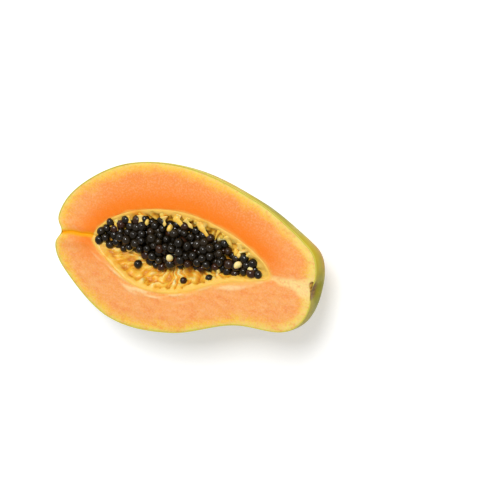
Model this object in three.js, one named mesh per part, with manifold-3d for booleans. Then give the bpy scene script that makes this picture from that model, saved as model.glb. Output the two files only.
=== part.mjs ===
// Half of a ripe papaya, cut lengthwise, lying on its rounded back with the cut face up.
//
// Millimetres, +Z up. X runs along the fruit from the blossom end to the stem end, and Y across it.
// The origin is the middle of the small flat spot that the half rests on.
// Bodies are described from the fruit's own middle, in the cut plane, and the group at the end lowers
// them all into place.

import * as THREE from "three";
import { mergeVertices } from "three/addons/utils/BufferGeometryUtils.js";
import Module from "manifold-3d";

const wasm = await Module();
wasm.setup();

// Driving dimensions

// A grown body runs along X between two ends. Its reach to each side is listed at even steps of the angle
// that sweeps from one end to the other, as the half-breadth divided by the sine of that angle: an ellipsoid
// would list one number over and over.
const FRUIT = {
  ends: [-84, 82],
  left: [66, 56, 55, 51.5, 46.5, 48, 78],
  right: [58, 48, 52, 46, 37, 57, 88],
  depth: [58, 49, 52, 51, 45, 50, 68],
};
const CAVITY = {
  ends: [-59, 54],
  left: [20, 24, 26, 26, 23, 19, 16],
  right: [14, 17, 25, 22, 11, 8, 8],
  depth: [16, 20, 23, 23, 21, 17, 14],
};
const AXIS_DROP_AT_STEM = 11; // the knife passed above the stem, so this half keeps the stem scar
const RIDGES = { count: 5, share: 0.01 }; // the five carpels show as faint lengthwise ridges
const BLOSSOM_NOTCH = { depth: 4.2, radius: 5 };
const STEM_SCAR = { y: -3, z: -5, depth: 3, radius: 6 }; // where the fruit came off its stalk
const REST_SPOT = { x: -6.7, y: 2.3, depth: 0.9 }; // middle of the flat spot, and its depth in the belly

const CLEARANCE = 0.3; // gap kept between neighbouring solids
// The pulp is thin at the cavity's lip and thick on its floor: it leaves a bowl of this share of the depth.
const PULP = { lining: 1.4, bowlShare: 0.6, fold: 1.9, foldPitch: 8, slant: 1.1 };

const SEED = { radii: [2.9, 2.65, 2.5], spacing: 4.5, tumble: 1.4, throws: 5000 };
// The heap of seeds fills a bed with ends and sides like the fruit's. Its middle line stands highest.
const SEED_BED = {
  ends: [-55, 48],
  left: [14, 18, 19, 18, 16, 12, 9],
  right: [2, 5, 7, 8, 5, 3, 2],
};
const HEAP = { crest: -1.9, fall: 6.5 }; // height of the middle seeds, and the fall to the bed's edge
const HEAP_CORE = { sink: 0.5, floor: 0.38 }; // depth under the seeds, and share of the cavity's depth
const HIGHEST_EDGE = 0.45; // the bed's edge lies at least this share of the cavity's depth down
// Seeds that have come away from the heap and lie on the bare pulp: along and across the fruit, and height.
const STRAY_SEEDS = [
  [-30, -10.7, -6.4],
  [0.6, -14.1, -5.4],
  [16.8, -9, -3.6],
];

const FLESH = { color: 0xf5954c, roughness: 0.45 };
const PALE_PULP = { color: 0xf3c468, roughness: 0.35 };
const WET_SEED = { color: 0x17110e, roughness: 0.2 };

// Steps along and around each body.
const FINENESS = { fruit: [40, 48], cavity: [28, 36], folds: [36, 30], core: [28, 20], seed: [5, 7] };
const END_CROWDING = 0.35; // how much closer the rings stand towards a body's two ends
const LEAST_REACH = 1; // a body that is drawn in keeps at least this half-breadth
const FAR = 200; // beyond every body

// Curves and noise

const square = (v) => v * v;
const bell = (distance, radius) => Math.exp(-square(distance / radius));

// A smooth curve through evenly spaced stations, read at a share from 0 to 1.
function stations(values) {
  const curve = new THREE.SplineCurve(values.map((v, i) => new THREE.Vector2(i, v)));
  return (share) => curve.getPoint(THREE.MathUtils.clamp(share, 0, 1)).y;
}

// The share of the sweep from one end of a body to the other at a place along X.
const middle = ([from, to]) => (from + to) / 2;
const halfLength = ([from, to]) => (to - from) / 2;
function shareAlong(ends, x) {
  return Math.acos(THREE.MathUtils.clamp((middle(ends) - x) / halfLength(ends), -1, 1)) / Math.PI;
}

// A repeatable random number from 0 to 1 for each pair of whole numbers and a use.
function chance(i, j, use) {
  const wave = Math.sin(i * 127.1 + j * 311.7 + use * 74.7) * 43758.5453;
  return wave - Math.floor(wave);
}

// Solids

function solid(geometry) {
  const bare = geometry.index ? geometry.toNonIndexed() : geometry.clone();
  bare.deleteAttribute("normal");
  bare.deleteAttribute("uv");
  const merged = mergeVertices(bare, 1e-4);
  const vertProperties = new Float32Array(merged.attributes.position.array);
  const triVerts = new Uint32Array(merged.index.array);
  return new wasm.Manifold(new wasm.Mesh({ numProp: 3, vertProperties, triVerts }));
}

function meshOf(name, body, finish) {
  const { vertProperties, triVerts } = body.getMesh();
  const geometry = new THREE.BufferGeometry();
  geometry.setAttribute("position", new THREE.BufferAttribute(vertProperties, 3));
  geometry.setIndex(new THREE.BufferAttribute(triVerts, 1));
  geometry.computeVertexNormals();
  const material = new THREE.MeshStandardMaterial({ ...finish, metalness: 0 });
  const mesh = new THREE.Mesh(geometry, material);
  mesh.name = name;
  return mesh;
}

// A closed grown body: a unit ball with its poles on X, each point moved by place(share, along, side, up).
// Rings stand closer together towards the two ends, where the body turns most.
function grownBody([rings, sides], place) {
  const profile = [];
  for (let i = 0; i <= rings; i += 1) {
    const share = i / rings;
    const angle = Math.PI * share - (END_CROWDING / 2) * Math.sin(2 * Math.PI * share);
    const onAxis = i === 0 || i === rings;
    profile.push(new THREE.Vector2(onAxis ? 0 : Math.sin(angle), -Math.cos(angle)));
  }
  const geometry = new THREE.LatheGeometry(profile, sides).rotateZ(-Math.PI / 2);
  const at = geometry.attributes.position;
  for (let i = 0; i < at.count; i += 1) {
    const along = at.getX(i);
    const share = Math.acos(THREE.MathUtils.clamp(-along, -1, 1)) / Math.PI;
    at.setXYZ(i, ...place(share, along, at.getY(i), at.getZ(i)));
  }
  return solid(geometry);
}

// The largest shell of a body: its sealed pockets are filled and its loose scraps dropped.
function mainBody(body) {
  return body.decompose().reduce((kept, shell) => (shell.volume() > kept.volume() ? shell : kept));
}

function slab(low, high) {
  return solid(new THREE.BoxGeometry(2 * FAR, 2 * FAR, high - low).translate(0, 0, (low + high) / 2));
}

const ABOVE_THE_CUT = slab(0, FAR);

// The half fruit: skin and flesh, grown as one piece

const axisHeight = (share) => -AXIS_DROP_AT_STEM * Math.pow(share, 3);

function wholeFruit() {
  const [left, right, depth] = [FRUIT.left, FRUIT.right, FRUIT.depth].map(stations);
  return grownBody(FINENESS.fruit, (share, along, side, up) => {
    const ridge = 1 + RIDGES.share * Math.cos(RIDGES.count * Math.atan2(up, side));
    const y = ridge * side * (side > 0 ? left : right)(share);
    const z = ridge * up * depth(share) + axisHeight(share);
    const dent =
      along < 0
        ? BLOSSOM_NOTCH.depth * bell(Math.hypot(y, z), BLOSSOM_NOTCH.radius)
        : -STEM_SCAR.depth * bell(Math.hypot(y - STEM_SCAR.y, z - STEM_SCAR.z), STEM_SCAR.radius);
    return [middle(FRUIT.ends) + halfLength(FRUIT.ends) * along + dent, y, z];
  });
}

// The cavity drawn in from its wall by inset(x, angle), a distance that may change over the wall, and made
// shallower by a share of its depth.
function cavityBody(fineness, inset, depthShare = 1) {
  const [left, right, depth] = [CAVITY.left, CAVITY.right, CAVITY.depth].map(stations);
  return grownBody(fineness, (share, along, side, up) => {
    const x = middle(CAVITY.ends) + halfLength(CAVITY.ends) * along;
    const shrink = inset(x, Math.atan2(up, side));
    const breadth = Math.max((side > 0 ? left : right)(share) - shrink, LEAST_REACH);
    const height = Math.max(depthShare * depth(share) - shrink, LEAST_REACH);
    return [x - along * shrink, side * breadth, up * height];
  });
}

function halfFruit(bottom) {
  const cavity = cavityBody(FINENESS.cavity, () => 0);
  const underRestSpot = slab(bottom - FAR, bottom);
  return wholeFruit().subtract(ABOVE_THE_CUT).subtract(cavity).subtract(underRestSpot);
}

// The seeds: a heap in the middle of the cavity, and a few strays

function seedAt(x, y, z, i, j, growth) {
  const turn = new THREE.Euler(...[0, 1, 2].map((use) => 2 * Math.PI * chance(i, j, use)));
  const matrix = new THREE.Matrix4().compose(
    new THREE.Vector3(x, y, z),
    new THREE.Quaternion().setFromEuler(turn),
    new THREE.Vector3(...SEED.radii).addScalar(growth),
  );
  const [rings, sides] = FINENESS.seed;
  return solid(new THREE.SphereGeometry(1, sides, rings).applyMatrix4(matrix));
}

// How far a place lies across the seed bed: 0 on its middle line, 1 on its edge and more outside it.
const bedSides = [SEED_BED.left, SEED_BED.right].map(stations);
function acrossBed(x, y) {
  const share = shareAlong(SEED_BED.ends, x);
  const breadth = bedSides[y > 0 ? 0 : 1](share) * Math.sin(Math.PI * share);
  return Math.abs(y) / Math.max(breadth, 1e-6);
}

// Height of the cavity's floor under its middle line.
const cavityDepth = stations(CAVITY.depth);
function cavityFloor(x) {
  const share = shareAlong(CAVITY.ends, x);
  return -cavityDepth(share) * Math.sin(Math.PI * share);
}

// Height of the seeds' centres: a ridge that falls away to both sides and to the ends.
function heapHeight(x, across) {
  const edge = Math.max(HEAP.crest - HEAP.fall, HIGHEST_EDGE * cavityFloor(x));
  const ridge = Math.sqrt(Math.sin(Math.PI * shareAlong(SEED_BED.ends, x)));
  return edge + (HEAP.crest - edge) * ridge * (1 - square(across));
}

// Seeds are thrown into the bed one after another, and each stays where no earlier one is too close.
function heapPlaces() {
  const places = [];
  const [from, to] = SEED_BED.ends;
  const [left, right] = [SEED_BED.left, SEED_BED.right].map((side) => Math.max(...side));
  for (let i = 0; i < SEED.throws; i += 1) {
    const x = THREE.MathUtils.lerp(from, to, chance(i, 0, 3));
    const y = THREE.MathUtils.lerp(-right, left, chance(i, 0, 4));
    const across = acrossBed(x, y);
    const crowded = places.some((other) => Math.hypot(other.x - x, other.y - y) < SEED.spacing);
    if (across > 1 || crowded) continue;
    const tumble = (chance(i, 0, 5) - 0.5) * SEED.tumble;
    places.push({ x, y, z: heapHeight(x, across) + tumble, i, j: 0 });
  }
  return places;
}

const strayPlaces = () => STRAY_SEEDS.map(([x, y, z], n) => ({ x, y, z, i: n, j: 99 }));

const join = (bodies) => wasm.Manifold.union(bodies);
const seedSolids = (places, growth) => places.map(({ x, y, z, i, j }) => seedAt(x, y, z, i, j, growth));

// The heap's inside, which the seeds stand out of: its top follows the seeds' centres.
function seedCore(growth) {
  return grownBody(FINENESS.core, (share, along, side, up) => {
    const x = middle(SEED_BED.ends) + halfLength(SEED_BED.ends) * along;
    const y = side * (bedSides[side > 0 ? 0 : 1](share) + growth);
    const edge = heapHeight(x, 1) - HEAP_CORE.sink;
    const floor = Math.min(HEAP_CORE.floor * cavityFloor(x), edge) - growth;
    const across = Math.abs(side) / Math.max(Math.hypot(side, up), 1e-6);
    const z = up > 0 ? heapHeight(x, across) - HEAP_CORE.sink : edge + (edge - floor) * up;
    return [x + growth * along, y, z];
  });
}

// The pulp: pale tissue that lines the cavity in slanting folds, hollowed where seeds press into it

function pulpLining(seeds) {
  const wall = cavityBody(FINENESS.cavity, () => CLEARANCE);
  const folds = (x, angle) => {
    const phase = Math.PI * (x / PULP.foldPitch + PULP.slant * angle);
    return CLEARANCE + PULP.lining + PULP.fold * square(Math.sin(phase));
  };
  const bowl = cavityBody(FINENESS.folds, folds, PULP.bowlShare);
  return mainBody(wall.subtract(ABOVE_THE_CUT).subtract(bowl).subtract(seeds));
}

// The assembly

const bellyShare = shareAlong(FRUIT.ends, REST_SPOT.x);
const bellyDepth = stations(FRUIT.depth)(bellyShare) * Math.sin(Math.PI * bellyShare);
const restHeight = axisHeight(bellyShare) - bellyDepth + REST_SPOT.depth;

const half = halfFruit(restHeight);
const heap = heapPlaces();
const strays = strayPlaces();
const pressed = join(seedSolids([...heap, ...strays], CLEARANCE).concat(seedCore(CLEARANCE)));

const papaya = new THREE.Group();
papaya.name = "papaya_half";
papaya.add(meshOf("fruit_half", half, FLESH));
papaya.add(meshOf("pulp", pulpLining(pressed), PALE_PULP));
papaya.add(meshOf("seeds", mainBody(join(seedSolids(heap, 0).concat(seedCore(0)))), WET_SEED));
seedSolids(strays, 0).forEach((seed, n) => papaya.add(meshOf(`stray_seed_${n + 1}`, seed, WET_SEED)));
papaya.position.set(-REST_SPOT.x, -REST_SPOT.y, -restHeight);

export default papaya;
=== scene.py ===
# %% [markdown]
# # Half a ripe papaya
#
# This lesson dresses a measured model of half a papaya, cut lengthwise and lying with its cut face up.
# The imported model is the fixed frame: it says how large the half is and where it rests. Each finer piece
# that is made below takes the place of one of its nodes, at the same place and size.

import bpy
import numpy as np
from mathutils import Matrix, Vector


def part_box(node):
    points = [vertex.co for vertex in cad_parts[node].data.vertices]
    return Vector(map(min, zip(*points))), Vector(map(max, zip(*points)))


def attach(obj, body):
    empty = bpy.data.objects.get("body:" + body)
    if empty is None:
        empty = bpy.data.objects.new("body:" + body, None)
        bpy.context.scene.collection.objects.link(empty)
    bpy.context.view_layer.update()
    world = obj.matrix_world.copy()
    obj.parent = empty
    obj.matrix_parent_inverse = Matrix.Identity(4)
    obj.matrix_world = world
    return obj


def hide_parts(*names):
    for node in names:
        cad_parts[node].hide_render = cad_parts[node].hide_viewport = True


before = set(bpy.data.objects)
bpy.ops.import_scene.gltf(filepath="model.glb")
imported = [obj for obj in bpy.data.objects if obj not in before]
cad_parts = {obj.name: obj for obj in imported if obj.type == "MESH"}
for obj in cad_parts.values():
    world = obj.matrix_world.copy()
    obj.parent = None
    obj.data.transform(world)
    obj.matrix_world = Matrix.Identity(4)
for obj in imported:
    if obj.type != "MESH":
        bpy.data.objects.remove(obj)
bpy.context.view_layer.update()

print("nodes to dress:", sorted(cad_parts))

# %% [markdown]
# ## Two frames
#
# Fruit shapes are easiest to write in millimetres round the fruit's own middle, with the cut face at
# height 0. The frame is in metres, with its origin at the spot that the half rests on. One function goes
# from the first to the second, so that no other cell has to think about it.

# %% Millimetres round the fruit's middle to metres in the frame
MM = 0.001
REST_SPOT = (-6.7, 2.3)  # where the frame's origin lies along and across the fruit
CUT_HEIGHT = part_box("fruit_half")[1].z
REST_HEIGHT = -CUT_HEIGHT / MM


def to_frame(points):
    """Slides to the rest spot, lifts the cut face to its height and turns millimetres to metres."""
    x, y, z = np.moveaxis(np.asarray(points, float), -1, 0)
    return np.stack([(x - REST_SPOT[0]) * MM, (y - REST_SPOT[1]) * MM, z * MM + CUT_HEIGHT], axis=-1)


print("the cut face lies", round(CUT_HEIGHT / MM, 2), "mm above the surface")

# %% [markdown]
# ## Curves and noise
#
# A fruit has no straight lines, so a few helpers do most of the drawing: a smooth curve through stations,
# a soft step, a bell, and noise made of sine waves. Noise from a seeded generator is the same on each run.

# %% Helpers for soft shapes
WAVES = 9
TINY = 1e-6  # keeps a division from meeting zero


def stations(values):
    """A smooth curve through evenly spaced values, read at a share from 0 to 1.

    Between two stations it is the cubic whose slope at each end is half the rise between the neighbours."""
    values = np.asarray(values, float)
    padded = np.concatenate([values[:1], values, values[-1:]])

    def read(share):
        place = np.clip(np.asarray(share, float), 0, 1) * (len(values) - 1)
        step = np.minimum(place.astype(int), len(values) - 2)
        t = place - step
        before, start, end, after = (padded[step + k] for k in range(4))
        slope_in, slope_out = (end - before) / 2, (after - start) / 2
        cubic = 2 * start - 2 * end + slope_in + slope_out
        square = -3 * start + 3 * end - 2 * slope_in - slope_out
        return ((cubic * t + square) * t + slope_in) * t + start

    return read


def bell(distance, radius):
    """A round bump: 1 in the middle, falling to a third at the radius."""
    return np.exp(-((distance / radius) ** 2))


def soft_step(low, high, value):
    """0 below low and 1 above high, with a smooth rise between."""
    t = np.clip((value - low) / (high - low), 0, 1)
    return t * t * (3 - 2 * t)


def ripple(points, length, seed):
    """Smooth noise of about -1 to 1: a few sine waves of about that length, in seeded directions."""
    draw = np.random.default_rng(seed)
    ways = draw.normal(size=(WAVES, 3))
    pace = 2 * np.pi / length * draw.uniform(0.7, 1.4, WAVES)
    ways *= (pace / np.linalg.norm(ways, axis=1))[:, None]
    return np.sin(points @ ways.T + draw.uniform(0, 2 * np.pi, WAVES)).sum(axis=-1) / np.sqrt(WAVES)


print("ripple of one point:", round(float(ripple(np.zeros(3), 10, 1)), 3))

# %% [markdown]
# ## The fruit and its cavity as measures
#
# The whole fruit is a stretched ball. Its reach to the left, to the right and downwards is listed at even
# steps from the blossom end to the stem end, as the half-breadth divided by the sine of the sweep, so that
# an ellipsoid would list one number over and over. Here the body is kept as a measure that is negative
# inside, 0 on the skin and positive outside. Any grid can then be laid on it, and the cavity works alike.

# %% Measures of the fruit and of the cavity
FRUIT_ENDS = (-84, 82)
FRUIT_LEFT = stations([66, 56, 55, 51.5, 46.5, 48, 78])
FRUIT_RIGHT = stations([58, 48, 52, 46, 37, 57, 88])
FRUIT_DEPTH = stations([58, 49, 52, 51, 45, 50, 68])
CAVITY_ENDS = (-59, 54)
CAVITY_LEFT = stations([20, 24, 26, 26, 23, 19, 16])
CAVITY_RIGHT = stations([14, 17, 25, 22, 11, 8, 8])
CAVITY_DEPTH = stations([16, 20, 23, 23, 21, 17, 14])
AXIS_DROP_AT_STEM = 11
RIDGES, RIDGE_SHARE = 5, 0.01
NOTCH_DEPTH, NOTCH_RADIUS = 4.2, 5
SCAR = {"y": -3, "z": -5, "depth": 3, "radius": 6, "mark_rise": 1.5, "mark_radius": 6.5}


def middle(ends):
    """The place half way between two ends."""
    return (ends[0] + ends[1]) / 2


def half_length(ends):
    """Half the way from one end to the other."""
    return (ends[1] - ends[0]) / 2


def share_along(along):
    """The share of the sweep from end to end at a place along a body that runs from -1 to 1."""
    return np.arccos(np.clip(-along, -1, 1)) / np.pi


def fruit_level(x, y, z):
    """The squares of the shares reached along, across and down, less 1, on a body dented at its ends."""
    notch = NOTCH_DEPTH * bell(np.hypot(y, z), NOTCH_RADIUS)
    scar = SCAR["depth"] * bell(np.hypot(y - SCAR["y"], z - SCAR["z"]), SCAR["radius"])
    centre = middle(FRUIT_ENDS)
    along = (x - np.where(x < centre, notch, -scar) - centre) / half_length(FRUIT_ENDS)
    share = share_along(along)
    side = y / np.where(y > 0, FRUIT_LEFT(share), FRUIT_RIGHT(share))
    up = (z + AXIS_DROP_AT_STEM * share**3) / FRUIT_DEPTH(share)
    ridge = 1 + RIDGE_SHARE * np.cos(RIDGES * np.arctan2(up, side))
    return along**2 + (side**2 + up**2) / ridge**2 - 1


def cavity_level(inset, depth_share=1.0):
    """The same measure for the cavity, made shallower by a share and drawn in by a distance."""

    def level(x, y, z):
        along = (x - middle(CAVITY_ENDS)) / (half_length(CAVITY_ENDS) - inset)
        share = share_along(along)
        side = y / (np.where(y > 0, CAVITY_LEFT(share), CAVITY_RIGHT(share)) - inset)
        return along**2 + side**2 + (z / (depth_share * CAVITY_DEPTH(share) - inset)) ** 2 - 1

    return level


print("measure in the flesh:", round(float(fruit_level(0.0, 35.0, -5.0)), 3))

# %% [markdown]
# ## Spokes from a hub
#
# From one point in the cut face, the hub, a straight line in any direction leaves the skin once and the
# cavity once. So each surface can be a grid of spokes: a turn round the hub gives the column and a dip
# under the cut face gives the row. The row with no dip is then exactly the cut edge, which a grid of rings
# across the fruit would miss. Halving steps find where each spoke leaves the body, for all spokes at once.

# %% Lay a grid of spokes on a measure
HUB = np.array([-5.0, 0.0, 0.0])
LONGEST_SPOKE = 140
HALVINGS = 40
COLUMNS = 480
END_CROWDING = 0.2

even_turns = np.linspace(0, 2 * np.pi, COLUMNS, endpoint=False)
TURNS = even_turns - END_CROWDING * np.sin(2 * even_turns)


def reach(level, dips):
    """Points where the spokes leave a body: rows of equal dip, and columns round the hub."""
    dip, turn = np.meshgrid(dips, TURNS, indexing="ij")
    way = np.stack([np.cos(dip) * np.cos(turn), np.cos(dip) * np.sin(turn), -np.sin(dip)])
    near = np.zeros(dip.shape)
    far = np.full(dip.shape, float(LONGEST_SPOKE))
    for _ in range(HALVINGS):
        half_way = (near + far) / 2
        inside = level(*(HUB[:, None, None] + half_way * way)) < 0
        near = np.where(inside, half_way, near)
        far = np.where(inside, far, half_way)
    return np.moveaxis(HUB[:, None, None] + near * way, 0, -1)


def outward(grid):
    """Unit normals of a grid of spokes: the cross product of its two directions, pointing from the hub."""
    round_hub = np.roll(grid, -1, axis=1) - np.roll(grid, 1, axis=1)
    down = np.gradient(grid, axis=0)
    normal = np.cross(round_hub, down)
    normal /= np.linalg.norm(normal, axis=-1, keepdims=True)
    return normal * np.sign(np.sum(normal * (grid - HUB), axis=-1, keepdims=True))


def outward_in_plan(outline):
    """Unit normals of a closed outline in the cut face, from the steps between its neighbours."""
    step = np.roll(outline, -1, axis=0) - np.roll(outline, 1, axis=0)
    normal = np.stack([step[:, 1], -step[:, 0], np.zeros(len(step))], axis=-1)
    return normal / np.linalg.norm(normal, axis=-1, keepdims=True)


print(COLUMNS, "columns, from", np.round(np.degrees(np.diff(TURNS).min()), 2), "degrees apart")

# %% [markdown]
# ## From rings to a mesh
#
# Every grown piece here is closed: rings of points from one pole to the other. The helper writes the
# points, the quads between rings and the fans at the poles in whole arrays, and turns the faces round if
# the volume comes out negative. Measures such as a distance from the rim go along as attributes, which the
# materials read.

# %% Build a closed mesh from rings
def ring_faces(rows, columns):
    """Quads between neighbouring rings, and a fan of triangles to the pole before and after them."""
    column = np.arange(columns)
    following = (column + 1) % columns
    start = 1 + columns * np.arange(rows - 1)[:, None]
    quads = np.stack(
        [start + column, start + following, start + columns + following, start + columns + column], axis=-1
    ).reshape(-1, 4)
    last = 1 + columns * (rows - 1)
    first_fan = np.stack([np.zeros_like(column), 1 + following, 1 + column], axis=-1)
    last_fan = np.stack([np.full_like(column, last + columns), last + column, last + following], axis=-1)
    return quads, np.concatenate([first_fan, last_fan])


def signed_volume(points, triangles):
    """A sixth of the sum of the triple products of all triangles."""
    a, b, c = (points[triangles[:, k]] for k in range(3))
    return np.sum(a * np.cross(b, c)) / 6


def new_piece(name, points, faces, measures):
    """A smooth mesh object at the origin, its place in its points, with a value per point and measure."""
    mesh = bpy.data.meshes.new(name)
    mesh.from_pydata(to_frame(points).tolist(), [], faces)
    for measure, values in measures.items():
        attribute = mesh.attributes.new(measure, "FLOAT", "POINT")
        attribute.data.foreach_set("value", np.asarray(values, np.float32).ravel())
    mesh.shade_smooth()
    piece = bpy.data.objects.new(name, mesh)
    bpy.context.scene.collection.objects.link(piece)
    return piece


def closed_piece(name, rings, measures):
    """A closed piece from rings of points: each pole is the middle of the ring next to it."""
    rows, columns = rings.shape[:2]

    def with_poles(values):
        flat = values.reshape(rows * columns, -1)
        return np.concatenate([values[0].mean(0).reshape(1, -1), flat, values[-1].mean(0).reshape(1, -1)])

    points = with_poles(rings)
    quads, fans = ring_faces(rows, columns)
    triangles = np.concatenate([quads[:, [0, 1, 2]], quads[:, [0, 2, 3]], fans])
    volume = signed_volume(points, triangles)
    if volume < 0:
        quads, fans = quads[:, ::-1], fans[:, ::-1]
    values = {measure: with_poles(grid[..., None]) for measure, grid in measures.items()}
    piece = new_piece(name, points, quads.tolist() + fans.tolist(), values)
    print(name, "has", len(points), "points and holds", round(abs(volume) / 1000, 1), "cubic centimetres")
    return piece


# %% [markdown]
# ## Shaders by hand
#
# The looks are procedural: patterns in the piece's own coordinates, and attributes that were measured on
# the surface. These helpers keep a material readable. What is the same all over a surface is set straight
# on the shader's socket, and only what changes from place to place is linked.

# %% Helpers for materials
def srgb(red, green, blue):
    """The linear colour of an 8-bit screen colour: each channel with its display curve undone."""
    channel = np.array([red, green, blue]) / 255
    linear = np.where(channel <= 0.04045, channel / 12.92, ((channel + 0.055) / 1.055) ** 2.4)
    return (*linear.tolist(), 1.0)


def new_material(name, constants):
    """A material with its constant values set on the Principled shader."""
    material = bpy.data.materials.new(name)
    material.use_nodes = True
    shader = material.node_tree.nodes["Principled BSDF"]
    for socket, value in constants.items():
        shader.inputs[socket].default_value = value
    return material, shader


def add_node(material, kind, inputs, **settings):
    """A node with its settings, and with each input either fed by a socket or given a value."""
    node = material.node_tree.nodes.new(kind)
    for name, value in settings.items():
        setattr(node, name, value)
    for name, value in inputs.items():
        if isinstance(value, bpy.types.NodeSocket):
            material.node_tree.links.new(value, node.inputs[name])
        else:
            node.inputs[name].default_value = value
    return node


def measure(material, name):
    """The value of one of the piece's attributes."""
    return add_node(material, "ShaderNodeAttribute", {}, attribute_name=name).outputs["Fac"]


def grain(material, size, detail=2.0, stretch=(1, 1, 1)):
    """Noise in the piece's own coordinates with features of about that size in millimetres."""
    place = add_node(material, "ShaderNodeTexCoord", {}).outputs["Object"]
    mapped = add_node(material, "ShaderNodeMapping", {"Vector": place, "Scale": stretch})
    inputs = {"Vector": mapped.outputs["Vector"], "Scale": 1 / (size * MM), "Detail": detail}
    return add_node(material, "ShaderNodeTexNoise", inputs).outputs["Fac"]


def spread(material, value, low, high, to_low=0.0, to_high=1.0):
    """A value taken from one range to another, held at the ends."""
    inputs = {"Value": value, "From Min": low, "From Max": high, "To Min": to_low, "To Max": to_high}
    node = add_node(material, "ShaderNodeMapRange", inputs, interpolation_type="SMOOTHSTEP")
    return node.outputs["Result"]


def spread_linear(material, value, low, high):
    """A value taken from a range to 0 and 1 along a straight line."""
    inputs = {"Value": value, "From Min": low, "From Max": high}
    return add_node(material, "ShaderNodeMapRange", inputs).outputs["Result"]


def times(material, first, second):
    """The product of two values."""
    node = add_node(material, "ShaderNodeMath", {}, operation="MULTIPLY")
    for socket, value in zip(node.inputs, (first, second)):
        if isinstance(value, bpy.types.NodeSocket):
            material.node_tree.links.new(value, socket)
        else:
            socket.default_value = value
    return node.outputs["Value"]


def colours(material, value, stops):
    """A colour ramp: pairs of a place from 0 to 1 and a colour."""
    node = add_node(material, "ShaderNodeValToRGB", {"Fac": value})
    ramp = node.color_ramp
    while len(ramp.elements) < len(stops):
        ramp.elements.new(1.0)
    for element, (place, colour) in zip(ramp.elements, stops):
        element.position = place
        element.color = colour
    return node.outputs["Color"]


def blend(material, share, under, over):
    """Two colours, mixed by a share: inputs 0, 6 and 7 and output 2 are the node's sockets for colours."""
    node = add_node(material, "ShaderNodeMix", {}, data_type="RGBA")
    for index, value in ((0, share), (6, under), (7, over)):
        if isinstance(value, bpy.types.NodeSocket):
            material.node_tree.links.new(value, node.inputs[index])
        else:
            node.inputs[index].default_value = value
    return node.outputs[2]


def feed(material, shader, sockets):
    """Links values that change over the surface to the shader's sockets."""
    for name, value in sockets.items():
        material.node_tree.links.new(value, shader.inputs[name])


def relief(material, shader, height, millimetres):
    """Fine relief: the height, from 0 to 1, stands that many millimetres high."""
    inputs = {"Height": height, "Strength": 1.0, "Distance": millimetres * MM}
    bump = add_node(material, "ShaderNodeBump", inputs)
    material.node_tree.links.new(bump.outputs["Normal"], shader.inputs["Normal"])


print("flesh orange in linear light:", [round(v, 3) for v in srgb(245, 149, 80)])

# %% [markdown]
# ## The skin
#
# A papaya's skin is a thin, tough rind. At the cut it shows as a fine yellow-green line, and the rest of it
# curves away under the half. It could be a paint on the outside of the flesh, but then the line at the cut
# would have to be painted too. Here it is a shell of its own thickness: the outer grid of spokes, a small
# round at the cut edge, and the same grid drawn in by the thickness.

# %% Skin shell
SKIN = 0.45
EDGE_ROUND = 0.15
SKIN_ROWS = 64
STEEPEST_DIP = 88.6

skin_dips = np.radians(np.linspace(STEEPEST_DIP, 0, SKIN_ROWS))
skin_outside = reach(fruit_level, skin_dips)
flatten = np.minimum(1, REST_HEIGHT / np.minimum(skin_outside[..., 2:], -TINY))
skin_outside = HUB + (skin_outside - HUB) * flatten
skin_normal = outward(skin_outside)
rim = skin_outside[-1]
rim_normal = outward_in_plan(rim)


def rim_ring(inward, height):
    """The rim drawn in by a distance in the cut face, at a height."""
    return rim - rim_normal * inward + np.array([0, 0, height])


corner_turns = np.radians([0, 30, 60, 90])
corner = [rim_ring(EDGE_ROUND * (1 - np.cos(a)), EDGE_ROUND * (np.sin(a) - 1)) for a in corner_turns]
skin_inside = (skin_outside - skin_normal * SKIN)[-2::-1]
skin_rings = np.concatenate([skin_outside[:-1], corner, [rim_ring(SKIN, 0)], skin_inside])


def from_scar(points):
    """Distance from the middle of the stalk's scar."""
    scar_middle = np.array([FRUIT_ENDS[1] - SCAR["depth"], SCAR["y"], SCAR["z"] + SCAR["mark_rise"]])
    return np.linalg.norm(points - scar_middle, axis=-1)


skin_measures = {
    "scar": bell(from_scar(skin_rings) * (1 + 0.12 * ripple(skin_rings, 6, 31)), SCAR["mark_radius"]),
    "below_cut": -skin_rings[..., 2],
}
skin = closed_piece("skin", skin_rings, skin_measures)
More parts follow.
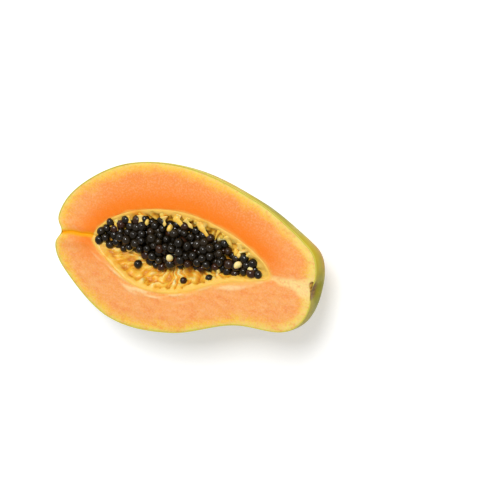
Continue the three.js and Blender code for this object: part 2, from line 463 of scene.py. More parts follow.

# %% [markdown]
# The finish of the skin: a waxy rind that ripens in patches. Green gives way to yellow over a few
# centimetres, with orange blotches, fine pale pores and a few brown flecks. Within about 12 mm of the cut
# the rind is painted paler and yellower, painted light on the strip that shows beside the cut face, and
# the very edge is a pale line. The scar of the stalk is dry and brown.

# %% Skin finish
def skin_finish():
    """Green to yellow by broad noise, then blotches, pores, flecks, a paler band by the cut that is painted
    light, the pale edge and the brown scar.
    """
    constants = {"Specular IOR Level": 0.1}
    material, shader = new_material("papaya_skin", constants)
    ripeness = grain(material, 38, 3.0)
    base = colours(
        material,
        ripeness,
        [
            (0.3, srgb(96, 106, 4)),
            (0.44, srgb(138, 136, 6)),
            (0.56, srgb(186, 166, 12)),
            (0.7, srgb(196, 136, 14)),
        ],
    )
    mottle = spread(material, grain(material, 5, 4.0), 0.35, 0.7)
    base = blend(material, times(material, mottle, 0.35), base, srgb(116, 122, 10))
    pores = spread(material, grain(material, 1.1, 1.0), 0.66, 0.76)
    base = blend(material, times(material, pores, 0.35), base, srgb(216, 200, 84))
    flecks = spread(material, grain(material, 2.2, 1.0), 0.72, 0.78)
    base = blend(material, times(material, flecks, 0.6), base, srgb(92, 66, 20))
    below_cut = measure(material, "below_cut")
    # Painted light: within about 12 mm of the cut the rind is made paler and yellower, where it shows beside
    # the cut face.
    base = blend(material, spread(material, below_cut, 0.5, 12.0, 0.7, 0.0), base, srgb(204, 176, 14))
    base = blend(material, spread(material, below_cut, 0.0, 1.4, 0.9, 0.0), base, srgb(216, 204, 80))
    bark_tones = [(0.3, srgb(80, 54, 22)), (0.7, srgb(176, 130, 56))]
    bark = colours(material, grain(material, 1.4, 4.0), bark_tones)
    base = blend(material, spread(material, measure(material, "scar"), 0.35, 0.75), base, bark)
    feed(material, shader, {"Base Color": base})
    feed(material, shader, {"Roughness": spread(material, grain(material, 9, 3.0), 0.3, 0.7, 0.32, 0.5)})
    relief(material, shader, grain(material, 1.6, 3.0), 0.05)
    return material


skin.data.materials.append(skin_finish())
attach(skin, "root")
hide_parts("fruit_half")
print("skin finish:", skin.data.materials[0].name)

# %% [markdown]
# ## The flesh
#
# The flesh fills the skin and carries the cut face. A knife leaves it nearly flat, but not quite: the edge
# by the skin is a touch lower, the lip of the cavity is rounded, and at the blossom end the flesh is
# puckered into a cleft with soft pillows beside it. The face is a grid between two outlines, the skin's
# inner edge and the cavity's lip, so its rows follow the fruit's own layers. They stand closer together at
# both outlines, where the face turns most.

# %% Distances in the cut face
SKIN_GAP = 0.02
FACE_ROWS = 56
FACE_CROWDING = 0.11
WALL_ROWS = 26
CLEFT_FROM = np.array([-80.5, -0.3])
CLEFT_TO = np.array([-57.0, 1.8])
STRAND_FROM = np.array([52.0, 0.4])
STRAND_TO = np.array([79.0, -2.0])
SCAR_FROM = np.array([79.8, 0.8])
SCAR_TO = np.array([82.6, -7.0])


def nearest(points, outline):
    """Distance in plan from each point of a grid to the nearest corner of an outline."""
    gaps = points[..., None, :2] - outline[None, None, :, :2]
    return np.sqrt((gaps**2).sum(-1).min(-1))


def beside(points, start, end):
    """Distance in plan from each point to a straight line, and the share of the line that is passed."""
    way = end - start
    offset = points[..., :2] - start
    share = (offset @ way) / (way @ way)
    return np.linalg.norm(offset - np.clip(share, 0, 1)[..., None] * way, axis=-1), share


edge = rim_ring(SKIN + SKIN_GAP, 0)
lip = reach(cavity_level(0), np.array([0.0]))[0]
lip_steps = np.linalg.norm(np.roll(lip, -1, axis=0) - lip, axis=-1)
lip_length = lip_steps.sum()
along_lip = np.cumsum(lip_steps) - lip_steps
even_rows = np.linspace(0, 1, FACE_ROWS)
face_share = (even_rows - FACE_CROWDING * np.sin(2 * np.pi * even_rows))[:, None, None]
face = edge + (lip - edge) * face_share
from_rim = nearest(face, edge)
from_lip = nearest(face, lip)
print("the flesh is", round(float(nearest(lip[None], edge).min()), 1), "mm thick where it is thinnest")

# %% [markdown]
# Marks in the face: the cleft at the blossom end, a pale strand that runs from the cavity to the stalk, the
# dry streak of the scar, and long streaks along the lower lip where the knife dragged soft tissue along.
# Each is a soft measure, which gives a little relief here and a colour later.

# %% Marks in the cut face
PUCKER_WIDTH, CLEFT_WIDTH = 0.8, 1.9
PILLOW_AWAY, PILLOW_WIDTH = 4.5, 3.2
SCAR_WIDTH = 2.2
LIP_BAND, LIP_DRAG = 4.2, 9

across_cleft, along_cleft = beside(face + 0.5 * ripple(face, 12, 16)[..., None], CLEFT_FROM, CLEFT_TO)
cleft_fade = 1 - soft_step(0.9, 1.15, along_cleft)
pucker = bell(across_cleft, PUCKER_WIDTH) * cleft_fade
pillow = bell(across_cleft - PILLOW_AWAY, PILLOW_WIDTH) * (1 - soft_step(0.7, 1.2, along_cleft))

strand_wander = 0.7 * ripple(face, 14, 13)
across_strand, along_strand = beside(face + strand_wander[..., None], STRAND_FROM, STRAND_TO)
strand_breadth = 2.1 + 4.8 * soft_step(0.55, 1.0, along_strand) + 0.5 * ripple(face, 5, 14)
strand = bell(across_strand, strand_breadth)

across_scar, _ = beside(face + 0.5 * ripple(face, 4, 17)[..., None], SCAR_FROM, SCAR_TO)
scar_streak = bell(across_scar, SCAR_WIDTH)

lower_lip = soft_step(-1, -6, lip[:, 1]) * bell(from_lip, LIP_BAND)
lip_grid = np.stack([np.broadcast_to(along_lip / LIP_DRAG, from_lip.shape), from_lip, 0 * from_lip], axis=-1)
lip_streak = ripple(lip_grid, 1.9, 15)
print("the lip is", round(float(lip_length)), "mm round")

# %% [markdown]
# The body of the flesh is one closed grid: up the outer wall just inside the skin, over the cut face with
# its relief, and down the wall of the cavity. One grid leaves no seam where the face turns into a wall. The
# measures that the finish needs are taken on the face, because the walls are covered.

# %% Flesh body
RIM_DROP, RIM_ROUND = 0.25, 0.6
LIP_DROP, LIP_ROUND = 0.4, 1.3
WAVE_HEIGHT, GRAIN_HEIGHT = 0.1, 0.04
PILLOW_HEIGHT, PUCKER_DEPTH = 0.6, 0.8
STREAK_HEIGHT, STRAND_DROP, SCAR_DROP = 0.22, 0.2, 0.9

face_height = (
    -RIM_DROP * np.exp(-from_rim / RIM_ROUND)
    - LIP_DROP * np.exp(-from_lip / LIP_ROUND)
    + WAVE_HEIGHT * ripple(face, 26, 11)
    + GRAIN_HEIGHT * ripple(face, 5, 12)
)
face_height += PILLOW_HEIGHT * pillow - PUCKER_DEPTH * pucker
face_height += STREAK_HEIGHT * lower_lip * lip_streak - STRAND_DROP * strand - SCAR_DROP * scar_streak
face[..., 2] = face_height

cavity_wall = reach(cavity_level(0), np.radians(np.linspace(3, 88, WALL_ROWS)))
outer_wall = (skin_outside - skin_normal * (SKIN + SKIN_GAP))[:-1]
flesh_rings = np.concatenate([outer_wall, face, cavity_wall])


def on_face(values):
    """A measure of the cut face, with 0 on the walls that the skin and the pulp cover."""
    before = np.zeros((len(outer_wall), COLUMNS))
    after = np.zeros((len(cavity_wall), COLUMNS))
    return np.concatenate([before, values, after])


x_face, y_face = face[..., 0], face[..., 1]
upper_side = soft_step(-14, 10, y_face - 0.12 * x_face)
towards_blossom = soft_step(-46, -74, x_face)
towards_stem = soft_step(30, 66, x_face)
glow_width = 1.3 + 1.1 * soft_step(-15, 25, x_face) + 0.4 * ripple(face, 9, 18)
flesh_measures = {
    "from_rim": on_face(from_rim),
    "lip_glow": on_face(soft_step(glow_width, -0.6, from_lip)),
    "deep": on_face(bell(np.maximum(from_lip - 3.0, 0), 8.5) * (0.1 + 0.9 * upper_side)),
    "light_side": on_face(1 - upper_side * (1 - 0.9 * towards_blossom) * (1 - 0.6 * towards_stem)),
    "lip_streak": on_face(lower_lip * lip_streak),
    "lower_lip": on_face(lower_lip),
    "cleft": on_face(bell(across_cleft, CLEFT_WIDTH) * cleft_fade),
    "strand": on_face(strand),
    "pale_stem": on_face(soft_step(15, 70, x_face) * bell(from_rim, 5.0)),
    "scar": on_face(scar_streak),
}
flesh = closed_piece("flesh", flesh_rings, flesh_measures)

# %% [markdown]
# The colour of the flesh runs in layers: a pale green-yellow under the skin, a yellow band, a broad salmon
# middle and a deep orange by the cavity, strongest on one side. Ramps on the two distances give the layers,
# and noise at several sizes gives the mottling and the fine grain of the cells.

# %% Flesh finish
def flesh_finish():
    """Layers by distance from the rim and the lip, then the marks and the grain of the cells."""
    constants = {
        "Specular IOR Level": 0.16,
        "Subsurface Weight": 0.2,
        "Subsurface Radius": (1.0, 0.35, 0.12),
        "Subsurface Scale": 2.0 * MM,
    }
    material, shader = new_material("papaya_flesh", constants)
    light_side = measure(material, "light_side")
    base = blend(material, light_side, srgb(245, 146, 66), srgb(249, 171, 94))
    wander = spread(material, grain(material, 11, 3.0), 0.25, 0.75, 0.75, 1.3)
    layer = times(material, measure(material, "from_rim"), wander)
    band = colours(
        material,
        spread_linear(material, layer, 0, 8),
        [
            (0.0, srgb(208, 204, 84)),
            (0.09, srgb(240, 218, 100)),
            (0.3, srgb(248, 200, 72)),
            (1.0, srgb(248, 168, 66)),
        ],
    )
    base = blend(material, spread(material, layer, 2.0, 9.5, 1.0, 0.0), base, band)
    pale = spread(material, measure(material, "pale_stem"), 0.15, 0.95, 0.0, 0.8)
    base = blend(material, pale, base, srgb(242, 222, 118))
    mottle = spread(material, grain(material, 4.5, 3.0), 0.35, 0.7)
    base = blend(material, times(material, mottle, 0.2), base, srgb(246, 146, 84))
    drag = grain(material, 3.2, 3.0, (0.45, 1.0, 1.0))
    pale_drag = times(material, spread(material, drag, 0.5, 0.72), light_side)
    base = blend(material, times(material, pale_drag, 0.32), base, srgb(253, 196, 136))
    red_drag = times(material, spread(material, drag, 0.5, 0.3), light_side)
    base = blend(material, times(material, red_drag, 0.45), base, srgb(245, 140, 70))
    soft_lip = spread(material, measure(material, "lower_lip"), 0.25, 1.0, 0.0, 0.6)
    base = blend(material, soft_lip, base, srgb(251, 192, 108))
    lip_streak = measure(material, "lip_streak")
    base = blend(material, spread(material, lip_streak, 0.0, 0.7, 0.0, 0.9), base, srgb(254, 218, 156))
    base = blend(material, spread(material, lip_streak, -0.2, -0.9, 0.0, 0.6), base, srgb(246, 150, 66))
    strand_share = spread(material, measure(material, "strand"), 0.1, 0.9)
    base = blend(material, strand_share, base, srgb(251, 220, 142))
    cells = spread(material, grain(material, 1.1, 2.0), 0.44, 0.66)
    base = blend(material, times(material, cells, 0.36), base, srgb(252, 190, 142))
    sap = spread(material, grain(material, 1.5, 3.0), 0.5, 0.7)
    base = blend(material, times(material, sap, 0.3), base, srgb(238, 124, 58))
    base = blend(material, times(material, measure(material, "deep"), 0.85), base, srgb(249, 124, 0))
    base = blend(material, times(material, measure(material, "lip_glow"), 0.95), base, srgb(251, 186, 84))
    cleft_share = spread(material, measure(material, "cleft"), 0.15, 0.95)
    base = blend(material, cleft_share, base, srgb(252, 166, 0))
    bark_tones = [(0.36, srgb(104, 66, 22)), (0.62, srgb(212, 164, 74))]
    bark = colours(material, grain(material, 1.2, 3.0), bark_tones)
    base = blend(material, spread(material, measure(material, "scar"), 0.2, 0.55), base, bark)
    feed(material, shader, {"Base Color": base})
    feed(material, shader, {"Roughness": spread(material, grain(material, 2.5, 2.0), 0.3, 0.7, 0.42, 0.6)})
    relief(material, shader, grain(material, 0.8, 3.0), 0.18)
    return material


flesh.data.materials.append(flesh_finish())
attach(flesh, "root")
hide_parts("fruit_half")
print("flesh finish:", flesh.data.materials[0].name)

# %% [markdown]
# ## The pulp
#
# The cavity is lined with pale, wet tissue. By the lip it is a smooth pale band that runs into the flesh,
# and deeper down it is gathered into folds, like threads that once held the seeds. The outer side is the
# cavity's wall. The inner side is a shallower bowl, raised into folds that are counted out round the lip,
# so that each fold runs down from it.

# %% Pulp lining
PULP_GAP = 0.05
LINING = 1.6
BOWL_SHARE = 0.6
PULP_ROWS = 46
FOLDS = 34
FOLD_HEIGHT = 2.1
DRIP = np.array([-32.5, 19.0])
DRIP_RADIUS = 4.5

pulp_outside = reach(cavity_level(PULP_GAP), np.radians(np.linspace(88, 3, WALL_ROWS)))
pulp_edge = reach(cavity_level(PULP_GAP), np.array([0.0]))[0]
pulp_brim = reach(cavity_level(LINING, BOWL_SHARE), np.array([0.0]))[0]
pulp_brim = pulp_brim - outward_in_plan(pulp_brim) * (0.5 + 0.5 * ripple(pulp_brim, 7, 26))[:, None]
band_share = np.array([-0.25, -0.1, 0.0, 0.2, 0.45, 0.75, 1.0])[:, None]
band_rise = np.array([-0.5, -0.12, 0.02, 0.06, 0.0, -0.25, -0.7])[:, None]
band = pulp_edge + (pulp_brim - pulp_edge) * band_share[..., None]
band[..., 2] = face_height[-1] + band_rise

pulp_wall = reach(cavity_level(LINING + 0.5, BOWL_SHARE), np.radians(np.linspace(5, 88, PULP_ROWS)))
pulp_depth = -pulp_wall[..., 2]
fold_wander = 1.3 * ripple(pulp_wall, 15, 21) + 0.5 * ripple(pulp_wall, 6, 24)
phase = np.pi * FOLDS * along_lip / lip_length + fold_wander
fold = np.abs(np.sin(phase)) * (0.6 + 0.45 * ripple(pulp_wall, 8, 22))
threads = np.abs(np.sin(1.9 * phase + 1.5 * ripple(pulp_wall, 7, 23)))
gather = soft_step(0.3, 2.2, pulp_depth)
fold_relief = fold + 0.22 * threads + 0.06 * ripple(pulp_wall, 3.5, 25)
pulp_wall = pulp_wall - outward(pulp_wall) * (FOLD_HEIGHT * gather * fold_relief)[..., None]
pulp_rings = np.concatenate([pulp_outside, band, pulp_wall])


def on_pulp(band_values, wall_values):
    """A measure of the lining: nothing on its hidden outside, then the band and the folded wall."""
    return np.concatenate([np.zeros(pulp_outside.shape[:2]), band_values, wall_values])


band_brim = np.broadcast_to(1 - 0.2 * np.maximum(band_share, 0), band.shape[:2])
wall_brim = 0.8 * (1 - gather)


def drip_on(grid):
    """A round patch where juice from the flesh has run down over the lining."""
    return bell(np.linalg.norm(grid[..., :2] - DRIP, axis=-1), DRIP_RADIUS)


pulp_measures = {
    "drip": on_pulp(drip_on(band), drip_on(pulp_wall)),
    "fold": on_pulp(np.full(band.shape[:2], 0.85), 0.85 + gather * (fold_relief - 0.85)),
    "brim": on_pulp(band_brim, wall_brim),
}
pulp = closed_piece("pulp_lining", pulp_rings, pulp_measures)

# %% [markdown]
# The finish of the pulp: wet tissue that lets light in. The ridges of the folds are cream, partly the
# tissue's colour and partly painted highlight, and the valleys are painted darker orange as painted shade.
# Along the brim the colour runs into that of the flesh. The measures taken on the lining give all three,
# so that colour and shape always agree.

# %% Pulp finish
def pulp_finish():
    """Cream on the ridges of the folds, partly painted highlight, painted shade of darker orange between
    them, and a blend to the flesh along the brim.
    """
    constants = {
        "Specular IOR Level": 0.25,
        "Subsurface Weight": 0.3,
        "Subsurface Radius": (1.0, 0.5, 0.15),
        "Subsurface Scale": 2.0 * MM,
        "Coat Weight": 0.12,
        "Coat Roughness": 0.15,
    }
    material, shader = new_material("papaya_pulp", constants)
    # Painted shade and highlight: by fold height, dark orange in the valleys is painted shade, and cream on
    # the ridges is the tissue's colour with painted highlight.
    base = colours(
        material,
        spread_linear(material, measure(material, "fold"), 0.0, 1.2),
        [
            (0.0, srgb(204, 112, 6)),
            (0.3, srgb(236, 164, 28)),
            (0.6, srgb(248, 200, 78)),
            (1.0, srgb(253, 228, 156)),
        ],
    )
    film = spread(material, grain(material, 2.2, 3.0), 0.35, 0.7)
    base = blend(material, times(material, film, 0.2), base, srgb(252, 214, 116))
    base = blend(material, measure(material, "brim"), base, srgb(253, 196, 88))
    amber = spread(material, grain(material, 8, 2.0), 0.56, 0.68, 0.0, 0.6)
    base = blend(material, amber, base, srgb(248, 168, 34))
    base = blend(material, times(material, measure(material, "drip"), 0.85), base, srgb(250, 150, 10))
    feed(material, shader, {"Base Color": base})
    feed(material, shader, {"Roughness": spread(material, grain(material, 1.8, 2.0), 0.3, 0.7, 0.3, 0.5)})
    relief(material, shader, grain(material, 1.0, 3.0), 0.15)
    return material


pulp_tissue = pulp_finish()
pulp.data.materials.append(pulp_tissue)
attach(pulp, "root")
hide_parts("pulp")
print("pulp finish:", pulp_tissue.name)

# %% [markdown]
# ## The seeds
#
# About two hundred seeds lie heaped in the cavity, each in a slippery dark coat. They are thrown into the
# bed one after another by a repeatable rule, and each stays where no earlier one is too close. The first
# layer follows the top of the heap, and the layers under it fill the heap down to the pulp, so that it looks
# full between the topmost seeds too.

# %% Places of the seeds
SEED_RADII = np.array([2.9, 2.65, 2.5])
SEED_SPACING = 4.0
UNDER_SPACING = 3.7
SEED_TUMBLE = 2.8
LAYER_STEP = 2.4
THROWS = 5000
BED_ENDS = (-57.5, 48)
BED_LEFT_LIST = [24, 24, 22, 20.5, 20, 18.8, 18.5, 18, 15.2, 13, 12, 11, 10]
BED_RIGHT_LIST = [4, 5, 6, 4.8, 3.8, 9.6, 6.8, 5, 5, 4.4, 3, 2.5, 2]
BED_LEFT = stations(BED_LEFT_LIST)
BED_RIGHT = stations(BED_RIGHT_LIST)
CREST, HIGHEST_EDGE = -1.4, 0.45
FALL_LEFT, FALL_RIGHT = 3.4, 6.5
STAND, HIGHEST_PUSH = 2.2, -0.9
SHALLOWEST, UNDER_CLEARANCE = -0.6, 0.4
UNDER_LAYERS = 3


def chance(i, j, use):
    """A repeatable number from 0 to 1: the digits after the point of a large sine."""
    wave = np.sin(i * 127.1 + j * 311.7 + use * 74.7) * 43758.5453
    return wave - np.floor(wave)


def share_of(ends, x):
    """The share of the sweep between two ends at a place along the fruit."""
    return share_along((x - middle(ends)) / half_length(ends))


def across_bed(x, y):
    """How far a place lies across the bed: 0 on its middle line, 1 on its edge and more outside it."""
    share = share_of(BED_ENDS, x)
    breadth = np.where(y > 0, BED_LEFT(share), BED_RIGHT(share)) * np.sin(np.pi * share)
    return np.abs(y) / np.maximum(breadth, TINY)


def heap_height(x, y, across):
    """The top of the heap: a ridge that falls away to both sides and to the ends."""
    cavity_share = share_of(CAVITY_ENDS, x)
    cavity_floor = -CAVITY_DEPTH(cavity_share) * np.sin(np.pi * cavity_share)
    fall = np.where(y > 0, FALL_LEFT, FALL_RIGHT)
    foot = np.maximum(CREST - fall, HIGHEST_EDGE * cavity_floor)
    ridge = np.sqrt(np.sin(np.pi * share_of(BED_ENDS, x)))
    return foot + (CREST - foot) * ridge * (1 - across**2)


def bowl_height(x, y):
    """Height of the pulp's bowl, without its folds: the lower half of a stretched ball."""
    along = (x - middle(CAVITY_ENDS)) / (half_length(CAVITY_ENDS) - LINING)
    share = share_along(along)
    side = y / (np.where(y > 0, CAVITY_LEFT(share), CAVITY_RIGHT(share)) - LINING)
    return -(BOWL_SHARE * CAVITY_DEPTH(share) - LINING) * np.sqrt(np.clip(1 - along**2 - side**2, 0, 1))


print("the heap's top at the fruit's middle:", round(float(heap_height(0.0, 5.0, 0.3)), 2), "mm")

# %% [markdown]
# Now the seeds are thrown. A throw in the first layer that would sink into the pulp is lifted until it
# stands on it, and a throw in a lower layer that would sink is left out. The layers are thrown one under
# the other, and all of them keep their distance from the seeds that lie there already.

# %% Throw the seeds
def thrown(layer):
    """Places in the bed for one layer of throws, a layer lower than the one before."""
    i = np.arange(THROWS)
    x = BED_ENDS[0] + (BED_ENDS[1] - BED_ENDS[0]) * chance(i, layer, 3)
    y = -max(BED_RIGHT_LIST) + (max(BED_LEFT_LIST) + max(BED_RIGHT_LIST)) * chance(i, layer, 4)
    across = across_bed(x, y)
    z = heap_height(x, y, across) + (chance(i, layer, 5) - 0.5) * SEED_TUMBLE - LAYER_STEP * layer
    floor = bowl_height(x, y)
    keep = (across <= 1) & (floor < SHALLOWEST)
    if layer == 0:
        z = np.maximum(z, np.minimum(floor + STAND, HIGHEST_PUSH))
    else:
        keep &= z > floor + UNDER_CLEARANCE
    return np.stack([x, y, z, i + 0.0, np.full(THROWS, float(layer))], axis=-1)[keep]


def settle(throws, settled, gap, height_counts):
    """Keeps each throw that lies at least a gap from all that stay before it."""
    weight = np.array([1, 1, height_counts])
    for throw in throws:
        earlier = np.reshape(settled, (-1, len(throw)))
        apart = np.linalg.norm((earlier[:, :3] - throw[:3]) * weight, axis=-1)
        if np.all(apart >= gap):
            settled.append(throw)
    return settled


heap = settle(thrown(0), [], SEED_SPACING, 0)
top_count = len(heap)
for layer in range(1, UNDER_LAYERS + 1):
    heap = settle(thrown(layer), heap, UNDER_SPACING, 1)
heap = np.array(heap)
print(top_count, "seeds on top of the heap and", len(heap) - top_count, "under them")

# %% [markdown]
# A seed is a small bean in a coat: a ball of a few rings, stretched and dented a little, and turned its own
# way. A few dozen faces are enough, because one step of subdivision rounds them. That step draws a body in
# a little, so each body starts larger by the same share. All bodies of a bunch go into one mesh.

# %% Seed bodies
SEED_SIDES, SEED_RINGS = 8, 5
SUBDIVISION_SHRINK = 0.9
SMALLEST_SEED, SIZE_RANGE = 0.82, 0.34
STRETCH_RANGE = 0.1
SEED_DENT = 0.16


def turning(i, j):
    """A rotation matrix for each seed: the product of turns about X, Y and Z by repeatable angles."""
    a, b, c = (2 * np.pi * chance(i, j, use) for use in range(3))
    zero, one = np.zeros_like(a), np.ones_like(a)
    about_x = np.array([[one, zero, zero], [zero, np.cos(a), -np.sin(a)], [zero, np.sin(a), np.cos(a)]])
    about_y = np.array([[np.cos(b), zero, np.sin(b)], [zero, one, zero], [-np.sin(b), zero, np.cos(b)]])
    about_z = np.array([[np.cos(c), -np.sin(c), zero], [np.sin(c), np.cos(c), zero], [zero, zero, one]])
    return np.einsum("abn,bcn,cdn->nad", about_x, about_y, about_z)


def bean_points(places, radii, dent):
    """A ball of rings for each place: scaled to its radii, dented a little, turned and put in its place."""
    tilt = np.pi * np.arange(1, SEED_RINGS + 1) / (SEED_RINGS + 1)
    turn = 2 * np.pi * np.arange(SEED_SIDES) / SEED_SIDES
    ring = np.stack(
        [
            np.sin(tilt)[:, None] * np.cos(turn),
            np.sin(tilt)[:, None] * np.sin(turn),
            np.cos(tilt)[:, None] * np.ones(SEED_SIDES),
        ],
        axis=-1,
    ).reshape(-1, 3)
    ball = np.concatenate([[[0, 0, 1]], ring, [[0, 0, -1]]])
    i, j = places[:, 3], places[:, 4]
    size = SMALLEST_SEED + SIZE_RANGE * chance(i, j, 6)
    stretch = 1 + STRETCH_RANGE * (chance(i[:, None], j[:, None], 50 + np.arange(3)) - 0.5)
    dents = 1 + dent * (chance(i[:, None], j[:, None], 7 + np.arange(len(ball))) - 0.5)
    bodies = ball * (radii * stretch)[:, None] / SUBDIVISION_SHRINK * (size[:, None] * dents)[..., None]
    return np.einsum("nab,nkb->nka", turning(i, j), bodies) + places[:, None, :3]


def bunch_piece(name, points, rows, columns, measures):
    """Many small closed bodies in one mesh, each a few dozen faces that a subdivision rounds."""
    quads, fans = ring_faces(rows, columns)
    bodies, count = points.shape[:2]
    first = count * np.arange(bodies)[:, None, None]
    if signed_volume(points[0], np.concatenate([quads[:, [0, 1, 2]], quads[:, [0, 2, 3]], fans])) < 0:
        quads, fans = quads[:, ::-1], fans[:, ::-1]
    faces = (first + quads).reshape(-1, 4).tolist() + (first + fans).reshape(-1, 3).tolist()
    values = {measure: np.repeat(each, count) for measure, each in measures.items()}
    piece = new_piece(name, points.reshape(-1, 3), faces, values)
    rounding = piece.modifiers.new("rounding", "SUBSURF")
    rounding.levels = rounding.render_levels = 1
    print(name, "holds", bodies, "bodies of", len(quads) + len(fans), "faces")
    return piece


def seed_piece(name, places):
    """The seeds of a bunch, each with a tone of its own."""
    tone = chance(places[:, 3], places[:, 4], 60)
    points = bean_points(places, SEED_RADII, SEED_DENT)
    return bunch_piece(name, points, SEED_RINGS, SEED_SIDES, {"tone": tone})


STRAY_SEEDS = [(-30, -10.7, -6.4), (0.6, -14.1, -5.4), (16.8, -9, -3.6)]
stray_places = [np.array([[*place, n, 99.0]]) for n, place in enumerate(STRAY_SEEDS)]
seeds = seed_piece("seed_heap", heap)
strays = [seed_piece(f"loose_seed_{n + 1}", place) for n, place in enumerate(stray_places)]

# %% [markdown]
# The coat of a seed is a clear wet jelly over a nearly black, wrinkled shell. A dark base with a thin clear
# coat gives the small bright lights and keeps the rest deep.

# %% Seed finish
def seed_finish():
    """Almost black with a brown or grey cast from seed to seed, under a clear wet coat."""
    constants = {"Specular IOR Level": 0.1, "Coat Weight": 0.6, "Coat Roughness": 0.1, "Coat IOR": 1.55}
    material, shader = new_material("wet_seed", constants)
    base = colours(
        material,
        measure(material, "tone"),
        [(0.0, srgb(14, 10, 4)), (0.6, srgb(26, 19, 8)), (0.85, srgb(40, 30, 14)), (1.0, srgb(58, 26, 8))],
    )
    wrinkle = grain(material, 1.2, 2.0)
    crests = spread(material, wrinkle, 0.45, 0.75)
    base = blend(material, times(material, crests, 0.35), base, srgb(56, 44, 22))
    feed(material, shader, {"Base Color": base})
    feed(material, shader, {"Roughness": spread(material, wrinkle, 0.3, 0.7, 0.2, 0.4)})
    relief(material, shader, wrinkle, 0.1)
    return material


seed_coat = seed_finish()
for n, piece in enumerate([seeds, *strays]):
    piece.data.materials.append(seed_coat)
    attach(piece, "root")
    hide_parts("seeds" if n == 0 else f"stray_seed_{n}")
print("seed finish:", seed_coat.name)

# %% [markdown]
# ## Threads of pulp between the seeds
#
# The seeds once hung on threads of pulp. Cut through, these reach from the lip over the outermost seeds as
# short cream fingers. A finger is a flattened round profile carried along a bent path, which starts in the
# band by the lip and ends on the heap. The largest are placed one by one, each by its start and end in plan
# and its radius, and the rest by the same repeatable chance as the seeds.

# %% Threads
THREAD_RINGS, THREAD_SIDES = 8, 7
THREAD_FLATNESS = 0.42
THREAD_ROOT, THREAD_SINK = -1.3, 1.1
THREAD_ARCH, THREAD_SWAY = 0.5, 1.6
LARGE_THREADS = np.array(
    [
        (-30.8, 19.3, -29.4, 12.7, 1.6),
        (-16.0, 21.5, -15.2, 15.5, 1.5),
        (-9.5, 22.5, -1.5, 16.2, 1.5),
        (-2.5, 22.5, 2.5, 17.5, 1.3),
        (6.0, 22.0, 13.1, 14.4, 1.6),
        (24.0, 18.0, 27.5, 12.0, 1.5),
        (33.0, 15.6, 35.0, 9.0, 1.7),
    ]
)
SMALL_THREADS = 14


def heap_top(x, y):
    """Height of the backs of the topmost seeds."""
    return heap_height(x, y, np.minimum(across_bed(x, y), 1.2)) + SEED_RADII[2]


def small_threads():
    """Threads from chosen places of the brim inwards: start and end in plan, and a radius."""
    n = np.arange(SMALL_THREADS)
    column = (COLUMNS * (0.06 + 0.4 * chance(n, 7, 1))).astype(int)
    start = pulp_brim[column]
    way = -outward_in_plan(pulp_brim)[column]
    side = np.stack([-way[:, 1], way[:, 0]], axis=-1)
    length = 3.0 + 4.0 * chance(n, 7, 2)
    end = start[:, :2] + way[:, :2] * length[:, None] + side * (2.4 * (chance(n, 7, 3) - 0.5))[:, None]
    radius = 0.6 + 0.6 * chance(n, 7, 4)
    return np.concatenate([start[:, :2], end, radius[:, None]], axis=-1)


def thread_points(rows):
    """A tapered tube along a bent path for each row: a flattened circle is carried square to the path."""
    start_x, start_y, end_x, end_y, radius = rows.T
    start = np.stack([start_x, start_y, np.full(len(rows), THREAD_ROOT)], axis=-1)
    end = np.stack([end_x, end_y, heap_top(end_x, end_y) - THREAD_SINK], axis=-1)
    sway = THREAD_SWAY * (chance(np.arange(len(rows)), 7, 5) - 0.5)
    bend = (start + end) / 2 + np.stack([sway, 0 * sway, THREAD_ARCH + 0 * sway], axis=-1)
    t = np.linspace(0, 1, THREAD_RINGS)[None, :, None]
    path = (1 - t) ** 2 * start[:, None] + 2 * t * (1 - t) * bend[:, None] + t**2 * end[:, None]
    tangent = np.gradient(path, axis=1)
    tangent /= np.linalg.norm(tangent, axis=-1, keepdims=True)
    sideways = np.cross(tangent, np.array([0, 0, 1.0]))
    sideways /= np.linalg.norm(sideways, axis=-1, keepdims=True)
    upwards = np.cross(sideways, tangent)
    taper = (1.5 - 0.9 * t) * np.sqrt(np.clip(1 - np.maximum(t - 0.75, 0) ** 2 / 0.085, 0.06, 1))
    thick = radius[:, None, None] * taper * (1 + 0.32 * ripple(path, 2.4, 41))[..., None]
    turn = 2 * np.pi * np.arange(THREAD_SIDES) / THREAD_SIDES
    breadth = np.cos(turn)[:, None] * sideways[:, :, None]
    height = THREAD_FLATNESS * np.sin(turn)[:, None] * upwards[:, :, None]
    rings = path[:, :, None] + thick[:, :, None] * (breadth + height)
    flat = rings.reshape(len(rows), -1, 3)
    return np.concatenate([path[:, :1], flat, path[:, -1:]], axis=1)


thread_rows = np.concatenate([LARGE_THREADS, small_threads()])
thread_tone = 0.55 + 0.5 * chance(np.arange(len(thread_rows)), 8, 1)
thread_measures = {"fold": thread_tone, "brim": 0.1 + 0 * thread_tone}
pulp_threads = bunch_piece(
    "pulp_threads", thread_points(thread_rows), THREAD_RINGS, THREAD_SIDES, thread_measures
)

# %% [markdown]
# A few seeds that never ripened lie among the others as pale lumps. They have the seeds' body with a flatter
# set of radii and deeper dents, and the pulp's finish. Three are placed one by one, and the rest fall near
# the edges of the heap.

# %% Pale lumps
LARGE_LUMPS = [(-8.1, -1.8), (33.9, 2.8), (41.5, 1.5)]
SMALL_LUMPS = 9
LUMP_RADII = np.array([2.6, 2.1, 1.4])
LUMP_DENT = 0.3
LUMP_SINK = 1.0
LUMP_FIRST, LUMP_SPAN = BED_ENDS[0] + 6, BED_ENDS[1] - BED_ENDS[0] - 10
PALEST = 1.2

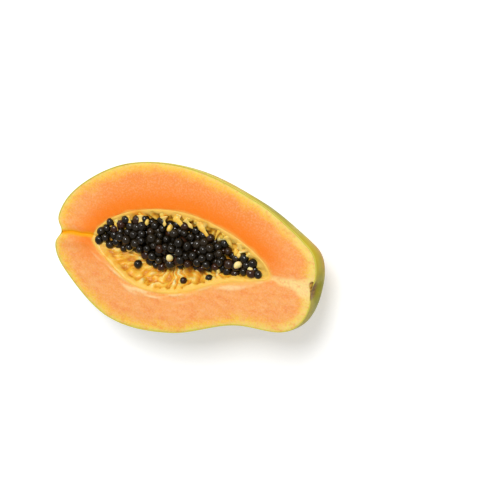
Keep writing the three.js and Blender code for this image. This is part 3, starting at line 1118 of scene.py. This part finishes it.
lump_number = np.arange(SMALL_LUMPS)
lump_x = LUMP_FIRST + LUMP_SPAN * chance(lump_number, 9, 1)
lump_share = share_of(BED_ENDS, lump_x)
lump_reach = np.sin(np.pi * lump_share) * (0.7 + 0.35 * chance(lump_number, 9, 2))
lump_above = chance(lump_number, 9, 3) < 0.6
lump_y = np.where(lump_above, BED_LEFT(lump_share), -BED_RIGHT(lump_share)) * lump_reach
lump_plan = np.concatenate([LARGE_LUMPS, np.stack([lump_x, lump_y], axis=-1)])
lump_height = heap_top(*lump_plan.T) - LUMP_SINK
lump_ids = np.stack([np.arange(len(lump_plan)), np.full(len(lump_plan), 55.0)], axis=-1)
lump_places = np.concatenate([lump_plan, lump_height[:, None], lump_ids], axis=-1)
lump_tone = 0.6 + 0.4 * chance(lump_ids[:, 0], 10, 1)
lump_tone[: len(LARGE_LUMPS)] = PALEST
lump_measures = {"fold": lump_tone, "brim": 0 * lump_tone}
pulp_lumps = bunch_piece(
    "pulp_lumps", bean_points(lump_places, LUMP_RADII, LUMP_DENT), SEED_RINGS, SEED_SIDES, lump_measures
)

for piece in (pulp_threads, pulp_lumps):
    piece.data.materials.append(pulp_tissue)
    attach(piece, "root")
    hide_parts("pulp")
print("threads and lumps are dressed in", pulp_tissue.name)

# %% [markdown]
# ## Camera, light and floor
#
# The camera looks down on the cut face from the stem end's side and is rolled a little, which its own three
# axes say directly: the way back to the camera, the picture's right and the picture's up.

# %% Camera
VIEW_SLOPE = np.array([np.tan(np.radians(18)), np.tan(np.radians(10)), 1.0])
ROLL = np.radians(12.18)
CAMERA_PLACE = np.array([244.509, 124.039, 629.675])
LENS, SENSOR = 85, 36

back = VIEW_SLOPE / np.linalg.norm(VIEW_SLOPE)
level_right = np.array([1.0, 0, 0]) - back * back[0]
level_right /= np.linalg.norm(level_right)
level_up = np.cross(back, level_right)
right = np.cos(ROLL) * level_right + np.sin(ROLL) * level_up
up = np.cross(back, right)


def aimed(place, x_axis, y_axis, z_axis):
    """A matrix that puts an object at a place with its three axes along the given ways."""
    matrix = np.eye(4)
    matrix[:3, :3] = np.stack([x_axis, y_axis, z_axis], axis=1)
    matrix[:3, 3] = to_frame(place)
    return Matrix(matrix.tolist())


camera_data = bpy.data.cameras.new("camera")
camera_data.lens = LENS
camera_data.sensor_width = SENSOR
camera = bpy.data.objects.new("camera", camera_data)
camera.matrix_world = aimed(CAMERA_PLACE, right, up, back)
bpy.context.scene.collection.objects.link(camera)
bpy.context.scene.camera = camera
print("camera", round(float(np.linalg.norm(CAMERA_PLACE)), 1), "mm from the fruit's middle")

# %% [markdown]
# The light is soft and comes mostly from near the camera, a little above it, so that the cut face is even
# and each wet seed carries one small bright spot. A wide lamp from the upper left and a pale sky fill the
# shadows.

# %% Lights and sky
SKY = 0.36


def soft_lamp(name, way, distance, size, power):
    """A square lamp that looks at the fruit's middle from a way and a distance in millimetres."""
    z_axis = way / np.linalg.norm(way)
    x_axis = np.cross(up, z_axis)
    x_axis /= np.linalg.norm(x_axis)
    data = bpy.data.lights.new(name, "AREA")
    data.size = size
    data.energy = power
    lamp = bpy.data.objects.new(name, data)
    lamp.matrix_world = aimed(z_axis * distance, x_axis, np.cross(z_axis, x_axis), z_axis)
    bpy.context.scene.collection.objects.link(lamp)
    return lamp


soft_lamp("key", -0.16 * right + 0.3 * up + 0.94 * back, distance=1100, size=0.36, power=8.5)
soft_lamp("fill", -0.7 * right + 0.6 * up + 0.4 * back, distance=1300, size=0.9, power=3.0)

sky = bpy.data.worlds.new("sky")
sky.use_nodes = True
sky.node_tree.nodes["Background"].inputs["Color"].default_value = (1, 1, 1, 1)
sky.node_tree.nodes["Background"].inputs["Strength"].default_value = SKY
bpy.context.scene.world = sky
bpy.context.scene.view_settings.view_transform = "Standard"
print("lamps:", [light.name for light in bpy.data.lights])

# %% [markdown]
# The floor is a wide pale sheet at the height of the rest spot. A little glow of its own keeps it white up
# to the edges of the picture and the shadow on it light.

# %% Floor
FLOOR_REACH = 3.0
FLOOR_SHADE, FLOOR_GLOW = 0.78, 0.42

floor_mesh = bpy.data.meshes.new("floor")
floor_corners = [(-FLOOR_REACH, -FLOOR_REACH, 0), (FLOOR_REACH, -FLOOR_REACH, 0)]
floor_corners += [(FLOOR_REACH, FLOOR_REACH, 0), (-FLOOR_REACH, FLOOR_REACH, 0)]
floor_mesh.from_pydata(floor_corners, [], [(0, 1, 2, 3)])
floor = bpy.data.objects.new("floor", floor_mesh)
bpy.context.scene.collection.objects.link(floor)
floor_constants = {
    "Base Color": (FLOOR_SHADE, FLOOR_SHADE, FLOOR_SHADE, 1),
    "Roughness": 0.9,
    "Specular IOR Level": 0.1,
    "Emission Color": (1, 1, 1, 1),
    "Emission Strength": FLOOR_GLOW,
}
floor_mesh.materials.append(new_material("pale_floor", floor_constants)[0])
print("the floor reaches", FLOOR_REACH, "m to each side")
